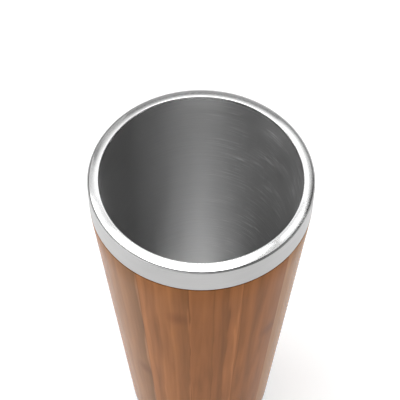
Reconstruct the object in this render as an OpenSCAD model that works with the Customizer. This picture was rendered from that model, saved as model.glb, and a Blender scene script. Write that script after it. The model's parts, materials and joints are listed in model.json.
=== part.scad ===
// Double-wall tumbler: a steel cup sealed inside a steel shell, clad in bamboo staves.
// The origin is the centre of the standing face, +Z runs up the axis, lengths are millimetres.

/* [Cup] */
// Height from the standing face to the top of the lip
cup_h = 180; // [160:1:210]
// Bore of the mouth, where a push-in lid seats
mouth_d = 77.4; // [68:0.2:86]
// Outer diameter of the bamboo where it meets the base cap
foot_d = 69.2; // [60:0.2:78]

/* [Lip and liner] */
// Thickness of the liner's steel
liner_t = 0.4; // [0.35:0.05:0.6]
// Fall of the crowned lip from its top to its outer edge
lip_drop = 0.7; // [0.5:0.1:1.3]
// Radius that turns the lip down into the mouth
lip_edge_r = 0.5; // [0.4:0.1:1.2]
// Length of the straight land that grips the lid, from the top of the lip
seat_h = 8.3; // [6:0.1:12]
// Step of the wall inwards below the land
seat_step = 0.35; // [0.2:0.05:0.6]
// Inner radius between wall and floor
floor_r = 8; // [5:0.5:12]

/* [Outer shell] */
// Thickness of the shell's steel
shell_t = 0.5; // [0.4:0.05:0.7]
// Height of the satin band, with the lip above it
band_h = 12.3; // [10:0.1:16]
// Widening of the band's radius from the lip down to its lower edge
band_flare = 0.3; // [0:0.1:0.6]
// Outside radius of the bends at the shoulder
shoulder_r = 0.8; // [0.8:0.1:1.4]

/* [Bamboo] */
// Number of staves round the cup
stave_count = 13; // [10:1:18]
// Thickness of a stave
stave_t = 3.2; // [2.6:0.1:3.4]
// How far the bamboo stands proud of the satin band
stave_proud = 0; // [0:0.1:0.6]
// Rounding of the staves' upper edge
stave_edge_r = 0.3; // [0.2:0.1:1]
// Direction of the first glue line, from +X
stave_turn = -96; // [-180:1:180]

/* [Base] */
// Thickness of the base cap's steel
cap_t = 0.5; // [0.4:0.05:0.6]
// Height of the cap's skirt above the standing face
cap_h = 8.6; // [6:0.1:14]
// Rounding at the foot of the skirt
cap_r = 2; // [1:0.1:2.4]
// Height of the cap's underside above the standing face
cap_lift = 0.7; // [0.4:0.1:1]
// Width of the foot ring
ring_w = 4.4; // [3:0.1:6]
// Depth of the channel that holds the foot ring
channel_h = 1; // [0.6:0.1:1.2]
// Rise of the cap's middle above its rim
cap_dish_h = 1.2; // [0.6:0.1:1.2]

/* [Vacuum] */
// Gap between liner and shell at the neck, below the lid land
neck_gap = 0.8; // [0.5:0.1:1.6]
// Gap between liner and shell at the foot of the liner
foot_gap = 2.4; // [1:0.1:5]
// Gap between the liner's floor and the outer bottom
floor_gap = 8.6; // [5:0.1:14]
// Thickness of the outer bottom's steel
bottom_t = 0.5; // [0.4:0.05:0.6]
// Depth of the outer bottom inside the shell
bottom_h = 3.6; // [2.6:0.1:4.4]
// Diameter of the dimple round the evacuation hole
dimple_d = 9; // [6:0.5:12]
// Depth of the dimple
dimple_h = 1.2; // [0.8:0.1:1.6]
// Diameter of the evacuation hole
vent_d = 1.6; // [1:0.1:2.4]
// Diameter of the glass bead that closes the hole
bead_d = 4.4; // [3:0.1:5]
// Thickness of the glass bead
bead_h = 0.9; // [0.6:0.1:1.1]
// Diameter of the getter pill
getter_d = 8; // [6:0.5:10]
// Thickness of the getter pill
getter_h = 2.4; // [1.6:0.1:3]

/* [Hidden] */
// Glue between bamboo and steel
glue = 0.15;
// Running gap of the weld between lip and band, and of other seated steel
seam = 0.04;
// Rounding of cut sheet edges
burr_r = 0.25;
// Inside radius of the base cap's channel and dish
press_r = 0.3;
// Inside radius of the outer bottom's flange
flange_r = 1;
// Rounding of the foot ring
ring_r = 0.6;
// Rounding of the getter and of the glass bead
pill_r = 0.3;
// Width of the bevel at the step below the lid land
seat_bevel = 0.6;
// Radial room between the foot ring and its channel
ring_fit = 0.1;
// Radial room between the channel and the outer bottom's flange
channel_fit = 0.45;
// Steps in each rounded corner
bend_steps = 7;
// Degrees in half a turn
half_turn = 180;
// Share of a straight run that its two corners may use
corner_share = 0.98;

$fn = 96;

mouth_r = mouth_d / 2;
// Radii at the neck, outwards from the liner: shell behind the bamboo, bamboo, band at its lower edge and top
shell_neck_r = mouth_r - seat_step + liner_t + neck_gap + shell_t;
sleeve_top_r = shell_neck_r + glue + stave_t;
band_r = sleeve_top_r - stave_proud;
band_top_r = band_r - band_flare;
// Slope of the bamboo and of the shell behind it, from the foot to the band
sleeve_top_z = cup_h - band_h;
slope = (sleeve_top_r - foot_d / 2) / (sleeve_top_z - cap_h);
// Outer face of the bamboo, and the shell's face behind it, at height z
function sleeve_r(z) = sleeve_top_r - slope * (sleeve_top_z - z);
function wall_r(z) = sleeve_r(z) - stave_t - glue;
// Radius of the lip's outer edge, inside the top of the band
lip_r = band_top_r - shell_t - seam;
// Height at which shell and staves stand on the cap's inner floor
foot_z = cap_lift + cap_t + glue;
// Height of the outer bottom's upper face, and of the liner's floor inside
bottom_z = foot_z + bottom_h;
floor_z = bottom_z + floor_gap + liner_t;
// Outer face of the outer bottom's flange, which lines the foot of the shell
function flange_face_r(z) = wall_r(z) - shell_t - seam;
// Foot ring's channel, inside the flange
channel_out_r = flange_face_r(foot_z) - bottom_t - cap_t - channel_fit;
channel_in_r = channel_out_r - ring_w - 2 * ring_fit;

function stave_name(i) = str("bamboo_stave_", i < 10 ? "0" : "", i);

// Outlines with rounded corners

function unit(v) = v / norm(v);
function left_of(v) = [-v[1], v[0]];
// Neighbours of corner i in a closed outline
function before(p, i) = p[(i + len(p) - 1) % len(p)];
function after(p, i) = p[(i + 1) % len(p)];
// Half of the angle inside corner i
function half_angle(p, i) =
    acos(unit(before(p, i) - p[i]) * unit(after(p, i) - p[i])) / 2;
// Length of the run beside corner i that its rounding takes
function tangent(p, r, i) = r[i] == 0 ? 0 : r[i] / tan(half_angle(p, i));
// Share of its radius that a corner gets, so that two corners never overlap on one run
function room(p, r, i) = let (
    last = (i + len(p) - 1) % len(p),
    next = (i + 1) % len(p),
    mine = tangent(p, r, i))
    min(1,
        corner_share * norm(p[i] - p[last]) / (mine + tangent(p, r, last)),
        corner_share * norm(p[i] - p[next]) / (mine + tangent(p, r, next)));
// Points of corner i, rounded by r[i]
function corner(p, r, i) = r[i] == 0 ? [p[i]] : let (
    radius = r[i] * room(p, r, i),
    a = unit(before(p, i) - p[i]),
    b = unit(after(p, i) - p[i]),
    half = half_angle(p, i),
    centre = p[i] + unit(a + b) * radius / sin(half),
    from = p[i] + a * radius / tan(half) - centre,
    start = atan2(from[1], from[0]),
    swing = (half_turn - 2 * half) * sign(cross(-a, b)))
    [for (s = [0:bend_steps]) let (angle = start + swing * s / bend_steps)
        centre + radius * [cos(angle), sin(angle)]];
function rounded(p, r) = [for (i = [0:len(p) - 1]) each corner(p, r, i)];

// Pressed sheet: follows one face given by corners p with radii r, and lies t to its left

function run(p, i) = unit(p[i + 1] - p[i]);
function other_side(p, i, t) = let (
    a = run(p, max(i - 1, 0)),
    b = run(p, min(i, len(p) - 2)),
    m = left_of(a) + left_of(b))
    p[i] + 2 * t * m / (m * m);
function other_radius(p, r, i, t) =
    i == 0 || i == len(p) - 1 || r[i] == 0 ? r[i]
    : max(0, r[i] - t * sign(cross(run(p, i - 1), run(p, i))));
function back_to_front(list) = [for (i = [len(list) - 1:-1:0]) list[i]];
function sheet(p, r, t) = rounded(
    concat(p, back_to_front([for (i = [0:len(p) - 1]) other_side(p, i, t)])),
    concat(r, back_to_front([for (i = [0:len(p) - 1]) other_radius(p, r, i, t)])));

module turned(outline, angle = 360, start = 0) {
    rotate_extrude(angle = angle, start = start) polygon(outline);
}

// Steel cup that holds the drink: crowned lip, straight lid land, tapered wall, rounded floor
module inner_liner() {
    crown_r = (lip_r + mouth_r + lip_edge_r) / 2;
    crown_bend_r = (lip_r - mouth_r - lip_edge_r) * (lip_r - mouth_r - lip_edge_r) / (2 * lip_drop);
    land_z = cup_h - seat_h;
    foot_r = wall_r(floor_z) - shell_t - foot_gap - liner_t;
    face = [
        [lip_r, cup_h - lip_drop],
        [crown_r, cup_h],
        [mouth_r, cup_h],
        [mouth_r, land_z],
        [mouth_r - seat_step, land_z - seat_bevel],
        [foot_r, floor_z],
        [0, floor_z]];
    radii = [burr_r, crown_bend_r, lip_edge_r, 0, 0, floor_r, 0];
    color("silver") turned(sheet(face, radii, liner_t));
}

// Outer steel wall: satin band, shoulder above the staves, hidden taper behind them
module outer_shell() {
    face = [
        [band_top_r, cup_h - lip_drop],
        [band_r, sleeve_top_z],
        [wall_r(sleeve_top_z), sleeve_top_z],
        [wall_r(foot_z), foot_z]];
    radii = [burr_r, shoulder_r, shoulder_r - shell_t, 0];
    color("gainsboro") turned(sheet(face, radii, -shell_t));
}

// One strip of the bamboo sleeve, rebated at its foot to fit inside the base cap
module stave(i) {
    step_z = cap_h + glue;
    rebate = cap_t + glue;
    outline = rounded(
        [
            [wall_r(sleeve_top_z) + glue, sleeve_top_z],
            [wall_r(foot_z) + glue, foot_z],
            [sleeve_r(foot_z) - rebate, foot_z],
            [sleeve_r(step_z) - rebate, step_z],
            [sleeve_r(step_z), step_z],
            [sleeve_top_r, sleeve_top_z]],
        [stave_edge_r, 0, cap_r, 0, 0, stave_edge_r]);
    pitch = 2 * half_turn / stave_count;
    color("peru") turned(outline, pitch, stave_turn + pitch * (i - 1));
}

// Pressed dish welded into the foot of the shell, dimpled and pierced in the middle
module outer_bottom() {
    dimple_r = dimple_d / 2;
    face = [
        [flange_face_r(foot_z), foot_z],
        [flange_face_r(bottom_z), bottom_z],
        [dimple_r + dimple_h, bottom_z],
        [dimple_r, bottom_z + dimple_h],
        [vent_d / 2, bottom_z + dimple_h]];
    radii = [0, flange_r, press_r, press_r, 0];
    color("darkgray") turned(sheet(face, radii, bottom_t));
}

// Pill that binds stray gas, fixed on the outer bottom beside the dimple
module getter() {
    r = getter_d / 2;
    z = bottom_z + seam;
    x = (dimple_d / 2 + dimple_h + flange_face_r(bottom_z)) / 2;
    color("dimgray") translate([x, 0, 0]) turned(rounded(
        [[0, z], [r, z], [r, z + getter_h], [0, z + getter_h]],
        [0, 0, pill_r, 0]));
}

// Glass fused over the evacuation hole, under the dimple
module seal_bead() {
    r = bead_d / 2;
    top = bottom_z + dimple_h - bottom_t - seam;
    color("lightcyan") turned(rounded(
        [[0, top - bead_h], [r, top - bead_h], [r, top], [0, top]],
        [0, pill_r, 0, 0]));
}

// Satin cap over the foot: skirt flush with the bamboo, channel for the foot ring, raised middle
module base_cap() {
    dish_r = channel_in_r - 2 * channel_h;
    face = [
        [sleeve_r(cap_h), cap_h],
        [sleeve_r(cap_lift), cap_lift],
        [channel_out_r, cap_lift],
        [channel_out_r, cap_lift + channel_h],
        [channel_in_r, cap_lift + channel_h],
        [channel_in_r, cap_lift],
        [dish_r, cap_lift],
        [dish_r - cap_dish_h, cap_lift + cap_dish_h],
        [0, cap_lift + cap_dish_h]];
    radii = [burr_r, cap_r, press_r, press_r, press_r, press_r, press_r, press_r, 0];
    color("gainsboro") turned(sheet(face, radii, -cap_t));
}

// Soft ring in the cap's channel, on which the cup stands
module foot_ring() {
    out_r = channel_out_r - ring_fit;
    in_r = channel_in_r + ring_fit;
    top = cap_lift + channel_h - seam;
    color("dimgray") turned(rounded(
        [[in_r, 0], [out_r, 0], [out_r, top], [in_r, top]],
        [ring_r, ring_r, 0, 0]));
}

inner_liner();
outer_shell();
for (i = [1:stave_count])
    stave(i);
outer_bottom();
getter();
seal_bead();
base_cap();
foot_ring();
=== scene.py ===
# %% [markdown]
# # A double-wall bamboo tumbler
#
# The cup in the picture is three trades in one. A sheet-metal shop draws a steel
# cup and a steel shell and welds them at the lip, with a vacuum between them. A
# wood shop glues bamboo staves into a tube and turns it to a taper. A press shop
# makes the cap and the soft ring of the foot.
#
# The CAD model already has every piece at its right size. It is loaded first as
# a fixed frame, and each piece that shows is then made again with finer curves
# and a real finish, exactly where the CAD piece is.

# %% Load the frame
import json
import math

import bmesh
import bpy
from mathutils import Matrix, Vector


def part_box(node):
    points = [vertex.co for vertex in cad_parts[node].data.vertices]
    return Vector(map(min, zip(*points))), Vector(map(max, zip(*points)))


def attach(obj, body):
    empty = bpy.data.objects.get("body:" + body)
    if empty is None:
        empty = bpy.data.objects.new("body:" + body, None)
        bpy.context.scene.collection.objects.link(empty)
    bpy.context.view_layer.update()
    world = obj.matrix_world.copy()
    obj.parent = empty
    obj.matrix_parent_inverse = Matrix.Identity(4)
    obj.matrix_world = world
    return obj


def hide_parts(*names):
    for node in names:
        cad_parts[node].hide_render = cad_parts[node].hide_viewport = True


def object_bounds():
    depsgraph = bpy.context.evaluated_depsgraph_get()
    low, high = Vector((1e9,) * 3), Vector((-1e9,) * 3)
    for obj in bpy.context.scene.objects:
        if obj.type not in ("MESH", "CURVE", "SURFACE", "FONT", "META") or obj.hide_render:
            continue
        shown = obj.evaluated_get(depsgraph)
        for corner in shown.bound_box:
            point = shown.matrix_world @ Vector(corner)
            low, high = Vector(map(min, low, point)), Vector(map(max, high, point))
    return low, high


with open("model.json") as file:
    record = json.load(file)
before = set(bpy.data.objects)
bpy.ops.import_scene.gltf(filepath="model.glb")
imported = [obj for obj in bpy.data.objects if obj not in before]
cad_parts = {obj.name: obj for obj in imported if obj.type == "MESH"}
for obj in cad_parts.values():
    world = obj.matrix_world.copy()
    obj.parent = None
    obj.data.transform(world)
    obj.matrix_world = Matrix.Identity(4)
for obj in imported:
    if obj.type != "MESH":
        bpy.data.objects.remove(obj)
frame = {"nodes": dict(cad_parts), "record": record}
cad_box = [list(corner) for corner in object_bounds()]
MM = 0.001
print("pieces in the frame:", len(frame["nodes"]))
print("box in mm:", [[round(c / MM, 2) for c in corner] for corner in cad_box])

# %% [markdown]
# ## The camera
#
# The picture looks down into the mouth from the front. The place of the camera
# was worked out from three ellipses that can be measured in it: the bore, the
# outer edge of the lip and the lower edge of the band. Near and far sides differ
# in size, so these give the distance as well as the angle. The picture hangs a
# fraction of a degree out of level, and the camera rolls by as much. Blender
# turns a camera by a quaternion that points its -Z axis along the line of sight.

# %% Place the camera
eye = Vector((0, -230.73, 492.84)) * MM
aim = Vector((-0.37, -11.62, 180)) * MM
roll = 0.005
camera = bpy.data.objects.new("camera", bpy.data.cameras.new("camera"))
bpy.context.scene.collection.objects.link(camera)
camera.data.sensor_width = 36
camera.data.lens = 92.57
camera.data.clip_start = 10 * MM
camera.location = eye
camera.rotation_mode = "QUATERNION"
line_of_sight = (aim - eye).to_track_quat("-Z", "Y")
camera.rotation_quaternion = line_of_sight @ Matrix.Rotation(roll, 3, "Z").to_quaternion()
bpy.context.scene.camera = camera
bpy.context.scene.view_settings.view_transform = "Standard"
dip = math.degrees(math.asin((eye - aim).normalized().z))
print("camera looks down by", round(dip, 1), "degrees")

# %% [markdown]
# ## Three helpers for materials
#
# A colour picked on a screen is an sRGB hex value, and a shader wants it linear,
# so one function turns it. Node trees get long when every node takes five
# lines, so one function adds a node with its settings, its values and its links.
# A value that is another node's socket becomes a link, and a colour ramp also
# takes its stops. A third function starts a material.
#
# Most sockets are given by name. A Mix node has a pair called A and B for each
# kind of data, so there they are given by number: 0 is the factor, 2 and 3 are
# the pair for single numbers, and 6 and 7 the pair for colours.

# %% Colours and nodes
def linear(hex_colour):
    """Turns a colour such as A87450 to linear values with alpha."""
    parts = [int(hex_colour[i:i + 2], 16) / 255 for i in (0, 2, 4)]
    return [c / 12.92 if c <= 0.04045 else ((c + 0.055) / 1.055) ** 2.4 for c in parts] + [1]


def put(tree, kind, values={}, stops=(), **settings):
    """Adds a node with its settings, sets or links its inputs, and places the stops of a ramp."""
    made = tree.nodes.new("ShaderNode" + kind)
    for name, setting in settings.items():
        setattr(made, name, setting)
    for name, value in values.items():
        if isinstance(value, bpy.types.NodeSocket):
            tree.links.new(value, made.inputs[name])
        else:
            made.inputs[name].default_value = value
    for i, (place, colour) in enumerate(stops):
        ramp = made.color_ramp.elements
        stop = ramp[i] if i < 2 else ramp.new(place)
        stop.position, stop.color = place, colour
    return made


def new_material(name):
    """Starts an empty material, and returns it with its node tree."""
    material = bpy.data.materials.new(name)
    material.use_nodes = True
    material.node_tree.nodes.clear()
    return material, material.node_tree


print("A87450 in linear light:", [round(c, 3) for c in linear("A87450")])

# %% [markdown]
# ## The studio
#
# The picture is a plain packshot on white paper. The room itself is nearly dark:
# polished steel needs dark things to mirror as well as bright ones, or it looks
# like plaster. Only near the horizon is it a mid grey.
#
# Light that enters a steel cup bounces many times before it comes out again.
# Four bounces, the usual limit, would leave the bore black, so more are allowed.

# %% The room
bpy.context.scene.cycles.glossy_bounces = 12
horizon = (0.05, [0.34, 0.34, 0.34, 1])
ceiling = (0.2, [0.03, 0.03, 0.03, 1])
world = bpy.data.worlds.new("studio_room")
world.use_nodes = True
tree = world.node_tree
tree.nodes.clear()
direction = put(tree, "TexCoord")
upward = put(tree, "SeparateXYZ", {0: direction.outputs["Generated"]})
grey = put(tree, "ValToRGB", {"Fac": upward.outputs["Z"]}, [horizon, ceiling])
room = put(tree, "Background", {"Color": grey.outputs["Color"], "Strength": 1})
put(tree, "OutputWorld", {"Surface": room.outputs["Background"]})
bpy.context.scene.world = world
print("room made of", len(tree.nodes), "nodes")

# %% [markdown]
# The paper is pale, and it also glows a little for the camera and for reflections, so that it reads
# white and still keeps the cup's shadow. Its colour and its glow are painted darker with distance,
# down to the grey of the room: a painted fall-off of the light, as a lit paper sweep shows. Seen
# from below it is clear, so that the foot can be looked at.

# %% The paper
# Within the first reach the paper is painted fully pale, beyond the second fully grey: a painted
# fall-off of the light.
painted_pool_reach, painted_grey_reach, paper_glow = 0.5, 1.2, 0.4
paper, tree = new_material("paper_sweep")
place = put(tree, "TexCoord")
away = put(tree, "VectorMath", {0: place.outputs["Object"]}, operation="LENGTH")
near = put(tree, "MapRange", {
    "Value": away.outputs["Value"], "From Min": painted_pool_reach, "From Max": painted_grey_reach,
    "To Min": 1, "To Max": 0,
}, interpolation_type="SMOOTHSTEP")
ray = put(tree, "LightPath")
seen = ray.outputs["Is Camera Ray"]
for kind in ("Is Glossy Ray", "Is Transmission Ray"):
    seen = put(tree, "Math", {0: seen, 1: ray.outputs[kind]}, operation="MAXIMUM").outputs[0]
# The glow is painted weaker with distance as well, part of the same painted fall-off.
glow = put(tree, "Math", {0: near.outputs["Result"], 1: paper_glow}, operation="MULTIPLY")
glow = put(tree, "Math", {0: glow.outputs[0], 1: seen}, operation="MULTIPLY")
# Pale near the cup and grey far away: painted shade away from the lamps.
painted_falloff_tones = [(0, linear("8C8C8C")), (1, linear("E6E6E6"))]
tone = put(tree, "ValToRGB", {"Fac": near.outputs["Result"]}, painted_falloff_tones)
sheet = put(tree, "BsdfPrincipled", {
    "Base Color": tone.outputs["Color"], "Roughness": 0.9, "Specular IOR Level": 0.1,
    "Emission Color": [1, 1, 1, 1], "Emission Strength": glow.outputs[0],
})
side = put(tree, "NewGeometry")
clear = put(tree, "BsdfTransparent")
mixed = put(tree, "MixShader", {
    0: side.outputs["Backfacing"], 1: sheet.outputs["BSDF"], 2: clear.outputs["BSDF"],
})
put(tree, "OutputMaterial", {"Surface": mixed.outputs["Shader"]})
print("paper made of", len(tree.nodes), "nodes")

# %% Lay the paper
paper_r = 6
bm = bmesh.new()
bmesh.ops.create_circle(bm, cap_ends=True, segments=96, radius=paper_r)
floor = bpy.data.objects.new("paper", bpy.data.meshes.new("paper"))
bm.to_mesh(floor.data)
bm.free()
bpy.context.scene.collection.objects.link(floor)
floor.data.materials.append(paper)
print("paper is", round(floor.dimensions.x, 1), "m across")

# %% [markdown]
# A bore is a hollow mirror: its far wall shows the front of the room near the
# mouth and the back of it further down, and its sides show the sides. So the
# bright column in the middle and the darker sides say where the lamps stood. The
# big ones hang overhead and at the left, and smaller ones at the back draw the
# greys on the far side of the lip. A few low ones stand just above the level of
# the mouth and pale the band. Three strips stand under that level: they light
# the sleeve and the ends of the band, and can't reach the bore.
#
# A softbox is given by how bright its cloth is, because that is what the steel
# shows. Its power is that glow times its area times pi.

# %% Soft lights
mouth = Vector((0, 0, cad_box[1][2]))


def softbox(name, turned, raised, distance, width, height, glow):
    """Adds a soft light that faces the mouth, turned from the front to the right and raised."""
    lamp = bpy.data.lights.new(name, "AREA")
    lamp.shape, lamp.size, lamp.size_y = "RECTANGLE", width, height
    lamp.energy = glow * math.pi * width * height
    holder = bpy.data.objects.new(name, lamp)
    turned, raised = math.radians(turned), math.radians(raised)
    level = math.cos(raised)
    away = Vector((math.sin(turned) * level, -math.cos(turned) * level, math.sin(raised)))
    holder.location = mouth + away * distance
    holder.rotation_mode = "QUATERNION"
    holder.rotation_quaternion = (-away).to_track_quat("-Z", "Y")
    bpy.context.scene.collection.objects.link(holder)
    return lamp.energy


softboxes = {
    # degrees turned, degrees raised, metres away, metres wide, metres high, glow
    "top_softbox": (200, 81, 1.45, 2.3, 2.2, 0.78),
    "key_softbox": (270, 86, 1.4, 1.1, 1.0, 3.4),
    "left_softbox": (270, 46, 1.9, 1.9, 1.0, 1.3),
    "rear_softbox": (180, 46, 1.95, 1.7, 0.8, 0.72),
    "right_rear_softbox": (148, 41, 2.0, 0.8, 0.8, 0.58),
    "right_low_rear_softbox": (148, 20, 2.0, 0.7, 0.6, 0.3),
    "right_high_softbox": (130, 57, 2.0, 0.5, 0.5, 1.4),
    "left_rear_softbox": (236, 31, 2.0, 1.1, 0.8, 0.8),
    "left_high_softbox": (232, 60, 1.9, 0.7, 0.6, 0.25),
    "left_low_rear_softbox": (211, 21, 2.0, 0.7, 0.55, 0.6),
    "low_rear_softbox": (180, 15, 2.0, 1.5, 0.6, 0.45),
    "low_left_softbox": (-80, 6, 2.0, 1.6, 0.45, 2.4),
    "low_right_softbox": (80, 6, 2.0, 1.6, 0.45, 0.3),
    "low_front_softbox": (0, 6, 2.0, 1.8, 0.45, 1.6),
    "foot_front_softbox": (0, -2, 2.0, 1.8, 0.2, 7),
    "foot_left_softbox": (-70, -2, 2.0, 1.8, 0.2, 6),
    "foot_right_softbox": (76, -2, 2.0, 1.8, 0.2, 12),
}
watts = [softbox(name, *numbers) for name, numbers in softboxes.items()]
print("lamps in watts:", [round(w, 1) for w in watts])

# %% [markdown]
# ## From a section to a turned piece
#
# Every metal piece of this cup is spun or deep drawn, so it is round, and all
# that a maker needs is its section: a line from the rim to the axis. In Blender
# it could be a curve with a Screw modifier, or a lathe of vertices. Here the
# line is drawn with a few corners, each corner is rounded by a vertex bevel,
# and the line is spun about the Z axis. The drawing is in millimetres, with the
# radius first and the height second.
#
# A vertex bevel wants the length that it takes from each run, which is the
# radius over the tangent of half the angle inside the corner.

# %% Draw a section
def section(corners, radii, closed=False, segments=8):
    """Draws a line of edges through the corners in the XZ plane and rounds them."""
    bm = bmesh.new()
    points = [bm.verts.new((r * MM, 0, z * MM)) for r, z in corners]
    for a, b in zip(points, points[1:] + points[:closed]):
        bm.edges.new((a, b))
    for point, radius in zip(points, radii):
        if radius:
            a, b = (edge.other_vert(point).co - point.co for edge in point.link_edges)
            taken = radius * MM / math.tan(a.angle(b) / 2)
            bmesh.ops.bevel(
                bm, geom=[point], offset=taken, offset_type="OFFSET", segments=segments,
                profile=0.5, affect="VERTICES", material=-1,
            )
    return bm

# %% [markdown]
# A brushed surface has to know which way its lines run. Each point of the line
# therefore keeps how far along the section it lies, before the line is spun. The
# shader spaces its lines by that distance.
#
# A spin leaves doubles where it closes and where the line meets the axis. They
# are merged before the normals are worked out, and if the widest face then
# points inwards, all faces are turned round.

# %% Spin a section
merge_mm = 0.0001


def measure_along(bm):
    """Gives each point of an open section its distance from the outer end."""
    layer = bm.verts.layers.float.new("along")
    ends = [v for v in bm.verts if len(v.link_edges) == 1]
    point, last, distance = max(ends, key=lambda v: v.co.x), None, 0
    while point:
        point[layer] = distance
        onward = [e for e in point.link_edges if e is not last]
        if not onward:
            break
        last = onward[0]
        distance += last.calc_length()
        point = last.other_vert(point)
    return distance


def turn(bm, angle=math.tau, steps=192):
    """Spins what the bmesh holds about Z, merges its doubles and faces it outwards."""
    full = angle == math.tau
    bmesh.ops.spin(
        bm, geom=bm.verts[:] + bm.edges[:] + bm.faces[:], cent=(0, 0, 0), axis=(0, 0, 1),
        dvec=(0, 0, 0), angle=angle, steps=steps, use_merge=full,
    )
    bmesh.ops.remove_doubles(bm, verts=bm.verts, dist=merge_mm * MM)
    bmesh.ops.recalc_face_normals(bm, faces=bm.faces)
    widest = max(bm.faces, key=lambda face: face.calc_center_median().xy.length)
    if widest.normal.xy.dot(widest.calc_center_median().xy) < 0:
        bmesh.ops.reverse_faces(bm, faces=bm.faces)

# %% [markdown]
# The spun piece gets a UV map with the way round the cup as U and the way along
# the section as V, both in metres, and the shader stretches its highlights by
# that map. A turned skin is then three steps: draw the section, spin it, map it.

# %% Map a turned skin
on_axis_mm = 0.01


def map_round(bm, middle_r):
    """Lays the UV map of a full turn, true to size at its middle radius."""
    along = bm.verts.layers.float["along"]
    uv = bm.loops.layers.uv.new("way_round")
    for face in bm.faces:
        centre = face.calc_center_median()
        start = math.atan2(centre.y, centre.x)
        for loop in face.loops:
            co = loop.vert.co
            swing = math.atan2(co.y, co.x) - start if co.xy.length > on_axis_mm * MM else 0
            swing = (swing + math.pi) % math.tau - math.pi
            loop[uv].uv = ((start + swing) * middle_r * MM, loop.vert[along])


def turned_skin(corners, radii, middle_r, segments=8):
    """Spins an open section whose first corner is its outer end, and lays its UV map."""
    bm = section(corners, radii, segments=segments)
    length = measure_along(bm)
    turn(bm)
    map_round(bm, middle_r)
    print("section of", round(length / MM, 1), "mm, spun to", len(bm.faces), "faces")
    return bm

# %% [markdown]
# A mesh becomes a piece when it is smooth but for its sharp edges, has its
# material, rides on the cup and is named as the one that stands for a CAD node.
# Sheet metal gets its thickness from a Solidify modifier, behind the face that
# was drawn, so all of a wall has the same thickness, as a drawn sheet nearly has.
# A small bevel then takes the sharpness off its cut edges.

# %% Finish a piece
sharp_angle, cut_angle = math.radians(32), math.radians(50)


def finish_piece(bm, name, material, slot, *nodes):
    """Makes the bmesh an object that stands for CAD nodes, smooth but for its sharp edges."""
    for edge in bm.edges:
        edge.smooth = not edge.is_manifold or edge.calc_face_angle() < sharp_angle
    for face in bm.faces:
        face.smooth = True
    piece = bpy.data.objects.new(name, bpy.data.meshes.new(name))
    bm.to_mesh(piece.data)
    bm.free()
    piece.data.materials.append(material)
    bpy.context.scene.collection.objects.link(piece)
    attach(piece, "root")
    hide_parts(*nodes)
    return piece


def thicken(piece, thickness, edge_r=0.19):
    """Gives a turned skin its sheet thickness behind its face, and rounds the cut edges."""
    wall = piece.modifiers.new("sheet", "SOLIDIFY")
    wall.thickness, wall.offset = thickness * MM, -1
    wall.use_even_offset = wall.use_quality_normals = True
    burr = piece.modifiers.new("burr", "BEVEL")
    burr.width, burr.segments, burr.profile = edge_r * MM, 4, 0.5
    burr.limit_method, burr.angle_limit = "ANGLE", cut_angle
    piece.modifiers.new("shading", "WEIGHTED_NORMAL").keep_sharp = True
    return piece

# %% [markdown]
# ## Brushed and polished steel
#
# The liner is 18/8 stainless steel, deep drawn from a disc. Its wall is brushed
# on a lathe, which leaves fine rings, and its lip is buffed to a soft mirror.
# Rings scatter light along the section and hardly at all round the cup, so a
# lamp shows as an upright band in the wall. In a Principled shader that is
# anisotropy: the tangent comes from the UV map and is turned a quarter, because
# the highlight stretches across the lines.
#
# The rings, and all marks that run round the cup, are one kind of noise: long
# round the cup and narrow along the section. Real brushing lines are about
# 0.05 mm apart, which a picture of this size can't show, so they are drawn
# 0.5 mm apart.

# %% Noise round the cup
def ring_noise(tree, around_mm, along_mm, detail=2.0, seed=0.0):
    """Noise drawn out round the cup: its length round and its width along the section."""
    place = put(tree, "TexCoord")
    flat = put(tree, "SeparateXYZ", {0: place.outputs["Object"]})
    along = put(tree, "Attribute", attribute_name="along")
    spot = put(tree, "CombineXYZ", {
        0: flat.outputs["X"], 1: flat.outputs["Y"], 2: along.outputs["Fac"],
    })
    per_metre = [1 / (mm * MM) for mm in (around_mm, around_mm, along_mm)]
    spot = put(tree, "VectorMath", {0: spot.outputs[0], 1: per_metre}, operation="MULTIPLY")
    return put(tree, "TexNoise", {
        "Vector": spot.outputs[0], "W": seed, "Scale": 1, "Detail": detail, "Roughness": 0.6,
    }, noise_dimensions="4D")

# %% [markdown]
# The seam between lip and shell is painted darker on both sides: painted shade in the groove of the
# seam. It is strongest a little right of the front and has all but gone an eighth of a turn from
# there. A point's place, over the cup's radius, gives a dot product of 1 with the direction of the
# strongest shade when it lies there.

# %% Painted shade of the seam
# The painted seam shade is strongest in this direction, a little right of the front.
seam_shade_peak = Matrix.Rotation(math.radians(18), 3, "Z") @ Vector((0, -1, 0))
seam_shade_fades_at, least_seam_shade, most_seam_shade = 0.7, 0.05, 0.75
seam_shade_full_mm = 0.15
print("seam shade is strongest towards", [round(c, 3) for c in seam_shade_peak])


def painted_seam_shade(tree, tone, reach_mm):
    """Paints shade on a steel tone along the seam at the outer end of a section."""
    place = put(tree, "TexCoord").outputs["Object"]
    towards = put(tree, "VectorMath", {
        0: place, 1: seam_shade_peak / cad_box[1][0],
    }, operation="DOT_PRODUCT")
    seam_shade_facing = put(tree, "MapRange", {
        "Value": towards.outputs["Value"], "From Min": seam_shade_fades_at, "From Max": 1,
        "To Min": least_seam_shade, "To Max": most_seam_shade,
    })
    along = put(tree, "Attribute", attribute_name="along")
    near = put(tree, "MapRange", {
        "Value": along.outputs["Fac"], "From Min": seam_shade_full_mm * MM, "From Max": reach_mm * MM,
        "To Min": 1, "To Max": 0,
    })
    amount = put(tree, "Math", {0: seam_shade_facing.outputs[0], 1: near.outputs[0]}, operation="MULTIPLY")
    # 2E2E2E is the painted shade of the seam's groove.
    return put(tree, "Mix", {
        0: amount.outputs[0], 6: tone, 7: linear("2E2E2E"),
    }, data_type="RGBA").outputs[2]
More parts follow.
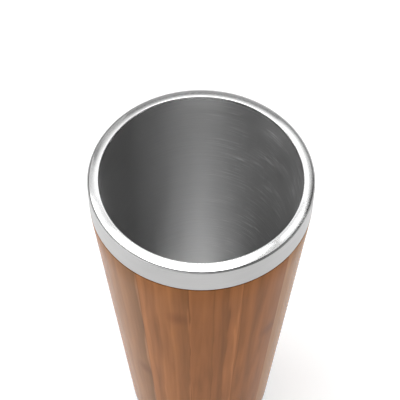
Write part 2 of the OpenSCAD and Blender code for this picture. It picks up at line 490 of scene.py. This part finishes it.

# %% [markdown]
# The buffing wheel reaches 4 to 5 mm along the section and stops just inside the mouth. Short
# polishing marks lie in patches of about 12 mm on the right of the bore, as in the picture. A mark
# is rougher than the wall, 10 mm long and in truth as fine as a hair; its paler tone is a painted
# glint, where the light catches it. It is drawn 0.45 mm wide, so that it shows.

# %% Polishing marks
liner_steel, tree = new_material("drawn_steel_brushed_bore_polished_lip")
rubbed_from_mm, rubbed_fully_mm = -5, 20
marks = ring_noise(tree, around_mm=10, along_mm=0.45, detail=1.0, seed=2.0)
patches = ring_noise(tree, around_mm=14, along_mm=11, detail=1.0, seed=12.0)
place = put(tree, "TexCoord")
place = put(tree, "SeparateXYZ", {0: place.outputs["Object"]})
# The marks and their painted glint begin near the middle and are full on the right of the bore.
scratch_and_glint = put(tree, "MapRange", {
    "Value": place.outputs["X"], "From Min": rubbed_from_mm * MM, "From Max": rubbed_fully_mm * MM,
})
for noise, faint, full in ((marks, 0.53, 0.66), (patches, 0.38, 0.58)):
    shown = put(tree, "MapRange", {
        "Value": noise.outputs["Fac"], "From Min": faint, "From Max": full,
    })
    scratch_and_glint = put(tree, "Math", {0: scratch_and_glint.outputs[0], 1: shown.outputs[0]}, operation="MULTIPLY")
print("marks made of", len(tree.nodes), "nodes")

# %% Liner steel
buffed_mm, brushed_mm = 4.3, 5.0
lip_rough, wall_rough, mark_rough = 0.16, 0.28, 0.39
ring_depth_mm, mark_share = 0.0015, 0.25
along = put(tree, "Attribute", attribute_name="along")
brushed = put(tree, "MapRange", {
    "Value": along.outputs["Fac"], "From Min": buffed_mm * MM, "From Max": brushed_mm * MM,
}).outputs["Result"]
rings = ring_noise(tree, around_mm=26, along_mm=0.5)
rough = put(tree, "MapRange", {
    "Value": scratch_and_glint.outputs[0], "To Min": wall_rough, "To Max": mark_rough,
})
rough = put(tree, "Mix", {0: brushed, 2: lip_rough, 3: rough.outputs["Result"]}, data_type="FLOAT")
height = put(tree, "Mix", {
    0: mark_share, 2: rings.outputs["Fac"], 3: scratch_and_glint.outputs[0],
}, data_type="FLOAT")
height = put(tree, "Math", {0: height.outputs[0], 1: brushed}, operation="MULTIPLY")
bump = put(tree, "Bump", {
    "Height": height.outputs[0], "Distance": ring_depth_mm * MM, "Strength": 1,
})
ring_tones = [(0.3, linear("D2D2D2")), (0.7, linear("D8D8D8"))]
tone = put(tree, "ValToRGB", {"Fac": rings.outputs["Fac"]}, ring_tones).outputs["Color"]
# Marks are painted paler: a painted glint on real, rougher scratches.
tone = put(tree, "Mix", {
    0: scratch_and_glint.outputs[0], 6: tone, 7: linear("EEEEEE"),
}, data_type="RGBA").outputs[2]
tone = put(tree, "Mix", {0: brushed, 6: linear("DCDCDC"), 7: tone}, data_type="RGBA").outputs[2]
way = put(tree, "Tangent", direction_type="UV_MAP", uv_map="way_round")
# The lip's outer end gets painted shade along the seam.
steel = put(tree, "BsdfPrincipled", {
    "Base Color": painted_seam_shade(tree, tone, reach_mm=0.35), "Metallic": 1,
    "Roughness": rough.outputs[0], "Anisotropic": 1.0, "Anisotropic Rotation": 0.25,
    "Tangent": way.outputs[0], "Normal": bump.outputs[0],
})
put(tree, "OutputMaterial", {"Surface": steel.outputs["BSDF"]})
print("liner steel made of", len(tree.nodes), "nodes")

# %% [markdown]
# ## The liner
#
# One drawn sheet, 0.4 mm thick. From the weld inwards it rises over a crowned
# lip, turns down over a small radius into the straight land that grips a lid,
# steps in by a third of a millimetre, and tapers to a rounded floor.
#
# The mouth is the master size, because a lid has to fit it. Walls, gaps and
# bamboo are added to it one after another, and the band ends flush with them.

# %% Sizes of the liner in millimetres
def reach(node, end, axis=0):
    """Reads a coordinate of a node's box from the frame, at its low end 0 or its high end 1."""
    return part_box(node)[end][axis] / MM


cup_h = cad_box[1][2] / MM
liner_t, lip_drop, lip_edge_r = 0.4, 0.7, 0.5
shell_t, band_flare, seam, glue_gap, stave_t = 0.5, 0.3, 0.04, 0.15, 3.2
lid_seat = frame["record"]["mounts"][0]["dims"]
mouth_r = lid_seat["r_mm"]
step_in, step_h, neck_gap = 0.35, 0.6, 0.8
wall_top_r = mouth_r - step_in + liner_t + neck_gap + shell_t
band_r = wall_top_r + glue_gap + stave_t
band_top_r = band_r - band_flare
lip_r = band_top_r - shell_t - seam
crown_r = (lip_r + mouth_r + lip_edge_r) / 2
crown_bend_r = (lip_r - mouth_r - lip_edge_r) ** 2 / (2 * lip_drop)
land_z = cup_h - lip_edge_r - lid_seat["length_mm"]
step_z = land_z - step_h
floor_z = reach("inner_liner", 0, axis=2) + liner_t
floor_edge_r, floor_corner_r = 28.25, 8
print("lip from", round(mouth_r, 2), "to", round(lip_r, 2), "mm")
print("bend of its crown in mm:", round(crown_bend_r, 2))

# %% Make the liner
bm = turned_skin(
    [(lip_r, cup_h - lip_drop), (crown_r, cup_h), (mouth_r, cup_h), (mouth_r, land_z),
     (mouth_r - step_in, step_z), (floor_edge_r, floor_z), (0, floor_z)],
    [0, crown_bend_r, lip_edge_r, 0, 0, floor_corner_r, 0], middle_r=36, segments=10,
)
liner = finish_piece(bm, "drawn_liner", liner_steel, "liner_steel", "inner_liner")
thicken(liner, liner_t)
print("liner in mm:", [round(c / MM, 2) for c in liner.dimensions])

# %% [markdown]
# ## The satin band
#
# The outer shell is a second drawn piece. Only its band shows, above the bamboo.
# It was satin finished with an abrasive belt while it turned, so it has the same
# rings as the bore, but finer and more even, and it shows the paper as one broad
# pale reflection.

# %% Satin steel
satin_steel, tree = new_material("belt_satin_steel")
ring_depth_mm, least_rough, most_rough = 0.006, 0.3, 0.38
rings = ring_noise(tree, around_mm=18, along_mm=0.4, seed=2.0)
clouds = ring_noise(tree, around_mm=14, along_mm=5, seed=6.0)
rough = put(tree, "MapRange", {
    "Value": clouds.outputs["Fac"], "From Min": 0.3, "From Max": 0.7,
    "To Min": least_rough, "To Max": most_rough,
})
bump = put(tree, "Bump", {
    "Height": rings.outputs["Fac"], "Distance": ring_depth_mm * MM, "Strength": 1,
})
ring_tones = [(0.3, linear("AFAFAF")), (0.7, linear("B4B4B4"))]
tone = put(tree, "ValToRGB", {"Fac": rings.outputs["Fac"]}, ring_tones).outputs["Color"]
way = put(tree, "Tangent", direction_type="UV_MAP", uv_map="way_round")
# The band's top edge gets painted shade along the seam.
steel = put(tree, "BsdfPrincipled", {
    "Base Color": painted_seam_shade(tree, tone, reach_mm=0.4), "Metallic": 1,
    "Roughness": rough.outputs["Result"], "Anisotropic": 0.6, "Anisotropic Rotation": 0.25,
    "Tangent": way.outputs[0], "Normal": bump.outputs[0],
})
put(tree, "OutputMaterial", {"Surface": steel.outputs["BSDF"]})
print("satin steel made of", len(tree.nodes), "nodes")

# %% Make the shell
shoulder_r, wall_foot_r = 0.8, 30.85
sleeve_top_z, foot_z = reach("bamboo_stave_01", 1, axis=2), reach("outer_shell", 0, axis=2)
bm = turned_skin(
    [(band_top_r, cup_h - lip_drop), (band_r, sleeve_top_z), (wall_top_r, sleeve_top_z),
     (wall_foot_r, foot_z)],
    [0, shoulder_r, shoulder_r - shell_t, 0], middle_r=40,
)
shell = finish_piece(bm, "outer_wall_with_band", satin_steel, "satin_steel", "outer_shell")
thicken(shell, shell_t)
print("shell in mm:", [round(c / MM, 2) for c in shell.dimensions])

# %% [markdown]
# ## Carbonised bamboo
#
# The sleeve is bamboo that was steamed until its sugars browned, cut in strips,
# glued edge to edge and turned on a lathe. Each strip comes from another place of
# another cane, so its tone changes at every glue line. Along a strip run the
# fibre bundles as fine darker lines. A clear satin lacquer lies over the wood
# and pales the sides, where the eye meets it at a low angle.
#
# Real bundles are 0.3 to 0.8 mm apart. A picture of this size shows only their
# wider groups, so streaks of about 1 mm and 3 mm are drawn.

# %% Noise along a strip
bamboo, tree = new_material("carbonised_bamboo_satin_lacquer")
grain = put(tree, "UVMap", uv_map="grain").outputs["UV"]
seed = put(tree, "Attribute", attribute_name="seed").outputs["Fac"]


def streaks(wide_mm, long_mm, detail):
    """Noise drawn out along a strip: the width and the length of its streaks."""
    per_metre = [1 / (wide_mm * MM), 1 / (long_mm * MM), 0]
    spot = put(tree, "VectorMath", {0: grain, 1: per_metre}, operation="MULTIPLY")
    return put(tree, "TexNoise", {
        "Vector": spot.outputs[0], "W": seed, "Scale": 1, "Detail": detail, "Roughness": 0.55,
    }, noise_dimensions="4D").outputs["Fac"]


fibres = streaks(wide_mm=1.1, long_mm=30, detail=2.5)
waves = streaks(wide_mm=3.2, long_mm=34, detail=1.5)
print("streaks made of", len(tree.nodes), "nodes")

# %% [markdown]
# Each strip carries its own tone as an attribute. The broad streaks that can be
# told apart in the picture are a ramp of lightness over the angle from the front.
# The fine fibres multiply it by about 2, so 0.5 leaves the tone as it is. The
# 3 mm noise shifts the place where the ramp is read by a degree or so, so that
# its streaks wander a little as real fibres do. The sides and the back have no
# broad streaks of their own.

# %% Bamboo tones
streak_lightness = [
    (-52, 0.55), (-46, 0.55), (-40, 0.46), (-35, 0.38), (-33.6, 0.58), (-30.6, 0.58),
    (-29.6, 0.46), (-24.5, 0.46), (-23, 0.57), (-21, 0.49), (-16.5, 0.49), (-15, 0.55),
    (-13.5, 0.45), (-10.5, 0.41), (-6.2, 0.38), (-5.6, 0.64), (-4.4, 0.5), (6.2, 0.5),
    (7, 0.41), (7.8, 0.49), (11, 0.47), (12.5, 0.39), (15, 0.39), (16, 0.53),
    (20, 0.55), (20.8, 0.69), (21.6, 0.66), (22.3, 0.45), (24.5, 0.5), (28.8, 0.59),
    (31, 0.45), (38, 0.53),
]
widest_swing, wander, darkest, lightest = 64, 1.3, 1.62, 2.38
front_swing = put(tree, "Attribute", attribute_name="front_swing")
drift = put(tree, "MapRange", {
    "Value": waves, "From Min": 0.3, "From Max": 0.7, "To Min": -wander, "To Max": wander,
})
swing = put(tree, "Math", {0: front_swing.outputs["Fac"], 1: drift.outputs[0]}, operation="ADD")
swing = put(tree, "MapRange", {
    "Value": swing.outputs[0], "From Min": -widest_swing, "From Max": widest_swing,
})
ramp = put(tree, "ValToRGB", {"Fac": swing.outputs[0]}, [
    (0.5 + turned / widest_swing / 2, [light] * 3 + [1]) for turned, light in streak_lightness
])
blend = put(tree, "Mix", {0: 0.35, 2: waves, 3: fibres}, data_type="FLOAT")
shade = put(tree, "MapRange", {
    "Value": blend.outputs[0], "From Min": 0.3, "From Max": 0.7,
    "To Min": darkest, "To Max": lightest,
})
shade = put(tree, "Math", {0: ramp.outputs["Color"], 1: shade.outputs[0]}, operation="MULTIPLY")
strip_tone = put(tree, "Attribute", attribute_name="strip_tone")
wood = put(tree, "VectorMath", {
    0: strip_tone.outputs["Color"], "Scale": shade.outputs[0],
}, operation="SCALE").outputs[0]
print("stops of lightness:", len(ramp.color_ramp.elements))

# %% [markdown]
# A strip may cross one knot of the cane, a dark patch about 10 mm high near one edge of it. The
# glue line is darker, and each strip is also darker along its top edge, just under the band.
#
# The knot is an ellipse: the way across the strip and the height above the
# knot's middle are each divided by its half size, and the length of the two is 1
# on its edge. The patch has no hard edge and fades out at 1.6.

# %% Knots, glue lines and a darker top edge
knot_across, knot_half_w, knot_half_h_mm, knot_fade = 0.8, 0.2, 5, 1.6
glue_start, top_edge_dark_mm, top_edge_dark_full_mm = 0.485, 0.3, 0.1
across = put(tree, "Attribute", attribute_name="across").outputs["Fac"]
up = put(tree, "SeparateXYZ", {0: grain}).outputs["Y"]
knot_z = put(tree, "Attribute", attribute_name="knot_z").outputs["Fac"]
off = put(tree, "CombineXYZ")
for i, (way, middle, half) in enumerate((
    (across, knot_across, knot_half_w), (up, knot_z, knot_half_h_mm * MM),
)):
    from_middle = put(tree, "Math", {0: way, 1: middle}, operation="SUBTRACT")
    halves = put(tree, "Math", {0: from_middle.outputs[0], 1: half}, operation="DIVIDE")
    tree.links.new(halves.outputs[0], off.inputs[i])
off = put(tree, "VectorMath", {0: off.outputs[0]}, operation="LENGTH")
knot = put(tree, "MapRange", {
    "Value": off.outputs["Value"], "From Min": 0, "From Max": knot_fade, "To Min": 0.5, "To Max": 0,
}, interpolation_type="SMOOTHSTEP")
edge = put(tree, "Math", {0: across, 1: 0.5}, operation="SUBTRACT")
edge = put(tree, "Math", {0: edge.outputs[0]}, operation="ABSOLUTE")
glue = put(tree, "MapRange", {
    "Value": edge.outputs[0], "From Min": glue_start, "From Max": 0.5, "To Min": 0, "To Max": 0.35,
})
top = put(tree, "MapRange", {
    "Value": up, "From Min": (sleeve_top_z - top_edge_dark_mm) * MM,
    "From Max": (sleeve_top_z - top_edge_dark_full_mm) * MM, "To Min": 0, "To Max": 0.25,
})
for amount, stain in ((knot, "6E4128"), (glue, "5E3820"), (top, "4A2D1B")):
    wood = put(tree, "Mix", {
        0: amount.outputs["Result"], 6: wood, 7: linear(stain),
    }, data_type="RGBA").outputs[2]
print("with knots, glue and end grain", len(tree.nodes), "nodes")

# %% [markdown]
# The lacquer is a coat of its own over the wood. The wood under it is matt and
# has no shine, and the fibres stand a hair proud of the rest.

# %% Lacquer
fibre_depth_mm, lacquer_rough = 0.02, 0.18
bump = put(tree, "Bump", {"Height": fibres, "Distance": fibre_depth_mm * MM, "Strength": 1})
lacquered = put(tree, "BsdfPrincipled", {
    "Base Color": wood, "Roughness": 0.6, "Specular IOR Level": 0.0, "Normal": bump.outputs[0],
    "Coat Weight": 0.65, "Coat Roughness": lacquer_rough, "Coat IOR": 1.16,
})
put(tree, "OutputMaterial", {"Surface": lacquered.outputs["BSDF"]})
print("bamboo made of", len(tree.nodes), "nodes")

# %% [markdown]
# ## The staves
#
# Thirteen strips stand round the steel wall. Each is a slice of a turned tube:
# its section is drawn once as a closed outline, filled with a face, turned to
# its own start and spun by a thirteenth of a turn. Its long edges are divided
# first, so that what is stored on its points runs evenly up the strip.
#
# The UV map lies flat on the strip, in metres, so the fibres run up the middle
# of each strip and meet the tapering glue lines at a slight angle, as in the
# real wood. The points also keep what the shader asks for: the way across the
# strip, the angle from the front, and the strip's own tone, seed and knot.

# %% Mark the grain
stave_count = 13
pitch, seed_step = math.tau / stave_count, 3.7
first_glue_line = math.radians(-96)
knots_mm = [40, 112, 92, 28, 61, 106, 150, 18, 101, 55, 136, 76, 142]
strip_tones = [
    "915C34", "8A562D", "9A6D45", "87522E", "94613A", "7F4F2C", "9C6941", "8A5630", "925F38",
    "83502D", "986641", "946845", "9D663C",
]


def mark_grain(bm, i, start):
    """Stores on the points of stave i what its shader reads, and lays its UV map."""
    uv = bm.loops.layers.uv.new("grain")
    across = bm.verts.layers.float.new("across")
    front_swing = bm.verts.layers.float.new("front_swing")
    strip_tone = bm.verts.layers.float_color.new("strip_tone")
    seed = bm.verts.layers.float.new("seed")
    knot_z = bm.verts.layers.float.new("knot_z")
    for v in bm.verts:
        swing = (math.atan2(v.co.y, v.co.x) - start + math.pi / 2) % math.tau - math.pi / 2
        v[across] = swing / pitch
        v[front_swing] = 90 + math.degrees(start + swing) - (360 if i > stave_count // 2 else 0)
        v[strip_tone] = linear(strip_tones[i])
        v[seed] = seed_step * i
        v[knot_z] = knots_mm[i] * MM
        for loop in v.link_loops:
            loop[uv].uv = ((swing - pitch / 2) * v.co.xy.length, v.co.z)

# %% Make the staves
flush_gap, sleeve_foot_r, stave_edge_r = 0.01, 34.59, 0.3
rebate_z, rebate_r, rebate_foot_r, cap_r = 8.75, 33.96, 33.55, 2
rows, stave_steps = 12, 14
stave_outline = [
    (wall_top_r + glue_gap, sleeve_top_z), (wall_foot_r + glue_gap, foot_z),
    (rebate_foot_r, foot_z), (rebate_r, rebate_z), (sleeve_foot_r, rebate_z),
    (band_r - flush_gap, sleeve_top_z),
]


def make_stave(i):
    """Makes stave i, counted from the glue line left of the front."""
    radii = [stave_edge_r, 0, cap_r, 0, 0, stave_edge_r]
    bm = section(stave_outline, radii, closed=True, segments=4)
    long_edges = [e for e in bm.edges if e.calc_length() > sleeve_top_z / 2 * MM]
    bmesh.ops.subdivide_edges(bm, edges=long_edges, cuts=rows - 1)
    bmesh.ops.contextual_create(bm, geom=bm.edges[:])
    start = first_glue_line + pitch * i
    to_start = Matrix.Rotation(start, 3, "Z")
    bmesh.ops.rotate(bm, verts=bm.verts, cent=(0, 0, 0), matrix=to_start)
    turn(bm, angle=pitch, steps=stave_steps)
    mark_grain(bm, i, start)
    name, node = f"turned_stave_{i + 1:02d}", f"bamboo_stave_{i + 1:02d}"
    return finish_piece(bm, name, bamboo, "bamboo", node)


staves = [make_stave(i) for i in range(stave_count)]
print("staves:", len(staves), "each", len(staves[0].data.polygons), "faces")

# %% [markdown]
# ## The foot
#
# A pressed cap closes the foot. Its skirt is flush with the bamboo and satin
# finished like the band, its middle is dished, and a channel under it holds a
# soft ring.

# %% Make the base cap
cap_t, cap_top_z, cap_foot_r, cap_lift, press_r = 0.5, 8.6, 34.16, 0.7, 0.3
channel_play, channel_in_r, channel_z = 0.1, 24.26, 1.7
channel_out_r = reach("foot_ring", 1) + channel_play
dish_out_r, dish_in_r, dish_z = 22.26, 21.06, 1.9
bm = turned_skin(
    [(reach("base_cap", 1), cap_top_z), (cap_foot_r, cap_lift), (channel_out_r, cap_lift),
     (channel_out_r, channel_z), (channel_in_r, channel_z), (channel_in_r, cap_lift),
     (dish_out_r, cap_lift), (dish_in_r, dish_z), (0, dish_z)],
    [0, cap_r] + [press_r] * 6 + [0], middle_r=30, segments=5,
)
cap = finish_piece(bm, "pressed_base_cap", satin_steel, "satin_steel", "base_cap")
thicken(cap, cap_t)
print("base cap in mm:", [round(c / MM, 2) for c in cap.dimensions])

# %% [markdown]
# The ring is moulded silicone, a dark grey rubber. It takes the fine grit of its
# spark-eroded mould, about 0.6 mm from grain to grain, which makes it matt.

# %% Silicone
silicone, tree = new_material("moulded_silicone")
grit_mm, grit_depth_mm = 0.6, 0.02
place = put(tree, "TexCoord").outputs["Object"]
grit = put(tree, "TexNoise", {"Vector": place, "Scale": 1 / (grit_mm * MM), "Detail": 3})
bump = put(tree, "Bump", {
    "Height": grit.outputs["Fac"], "Distance": grit_depth_mm * MM, "Strength": 1,
})
grit_tones = [(0.3, linear("3A3A3B")), (0.7, linear("424243"))]
tone = put(tree, "ValToRGB", {"Fac": grit.outputs["Fac"]}, grit_tones)
rubber = put(tree, "BsdfPrincipled", {
    "Base Color": tone.outputs["Color"], "Roughness": 0.62, "IOR": 1.41,
    "Normal": bump.outputs[0],
})
put(tree, "OutputMaterial", {"Surface": rubber.outputs["BSDF"]})
print("silicone made of", len(tree.nodes), "nodes")

# %% Make the foot ring
ring_w, ring_edge_r = 4.4, 0.6
ring_out_r, ring_h = reach("foot_ring", 1), reach("foot_ring", 1, axis=2)
ring_in_r = ring_out_r - ring_w
bm = section(
    [(ring_in_r, 0), (ring_out_r, 0), (ring_out_r, ring_h), (ring_in_r, ring_h)],
    [ring_edge_r, ring_edge_r, 0, 0], closed=True,
)
turn(bm)
ring = finish_piece(bm, "moulded_foot_ring", silicone, "silicone", "foot_ring")
print("foot ring in mm:", [round(c / MM, 2) for c in ring.dimensions])

# %% [markdown]
# ## Inside the vacuum
#
# Three pieces are sealed in between the walls and never show. Their CAD shapes
# are right as they are, so they only get their materials. The pressed bottom of
# the shell is rolled steel that came grey and straw-coloured from the furnace.
# The getter pill is pressed from metal powder and sintered, so it is matt and
# grainy. The glass that closed the hole was melted there, and is smooth.

# %% Rolled steel
stain_mm = 9
rolled_steel, tree = new_material("rolled_steel_heat_tinted")
place = put(tree, "TexCoord").outputs["Object"]
stain = put(tree, "TexNoise", {"Vector": place, "Scale": 1 / (stain_mm * MM), "Detail": 4})
grey_and_straw = [(0.35, linear("B0ABA4")), (0.65, linear("A8977E"))]
tone = put(tree, "ValToRGB", {"Fac": stain.outputs["Fac"]}, grey_and_straw)
steel = put(tree, "BsdfPrincipled", {
    "Base Color": tone.outputs["Color"], "Metallic": 1, "Roughness": 0.42,
})
put(tree, "OutputMaterial", {"Surface": steel.outputs["BSDF"]})
print("rolled steel made of", len(tree.nodes), "nodes")

# %% Getter metal
grain_mm, grain_depth_mm = 0.25, 0.05
getter_metal, tree = new_material("sintered_getter_metal")
place = put(tree, "TexCoord").outputs["Object"]
grains = put(tree, "TexVoronoi", {"Vector": place, "Scale": 1 / (grain_mm * MM)})
grains = grains.outputs["Distance"]
bump = put(tree, "Bump", {"Height": grains, "Distance": grain_depth_mm * MM, "Strength": 1})
grain_tones = [(0, linear("6C6C70")), (0.8, linear("55555A"))]
tone = put(tree, "ValToRGB", {"Fac": grains}, grain_tones)
pill = put(tree, "BsdfPrincipled", {
    "Base Color": tone.outputs["Color"], "Metallic": 1, "Roughness": 0.75,
    "Normal": bump.outputs[0],
})
put(tree, "OutputMaterial", {"Surface": pill.outputs["BSDF"]})
print("getter metal made of", len(tree.nodes), "nodes")

# %% Solder glass
swirl_mm = 1.5
solder_glass, tree = new_material("fused_solder_glass")
place = put(tree, "TexCoord").outputs["Object"]
swirl = put(tree, "TexNoise", {"Vector": place, "Scale": 1 / (swirl_mm * MM), "Detail": 3})
grey_greens = [(0.35, linear("4E5F58")), (0.65, linear("6B7F76"))]
tone = put(tree, "ValToRGB", {"Fac": swirl.outputs["Fac"]}, grey_greens)
glass = put(tree, "BsdfPrincipled", {
    "Base Color": tone.outputs["Color"], "Roughness": 0.12, "IOR": 1.62,
})
put(tree, "OutputMaterial", {"Surface": glass.outputs["BSDF"]})
print("solder glass made of", len(tree.nodes), "nodes")

# %% Finish the hidden pieces
finishes = {"outer_bottom": rolled_steel, "getter": getter_metal, "seal_bead": solder_glass}
for node, finish in finishes.items():
    for slot in frame["nodes"][node].material_slots:
        slot.material = finish
print("hidden pieces finished:", sorted(finishes))
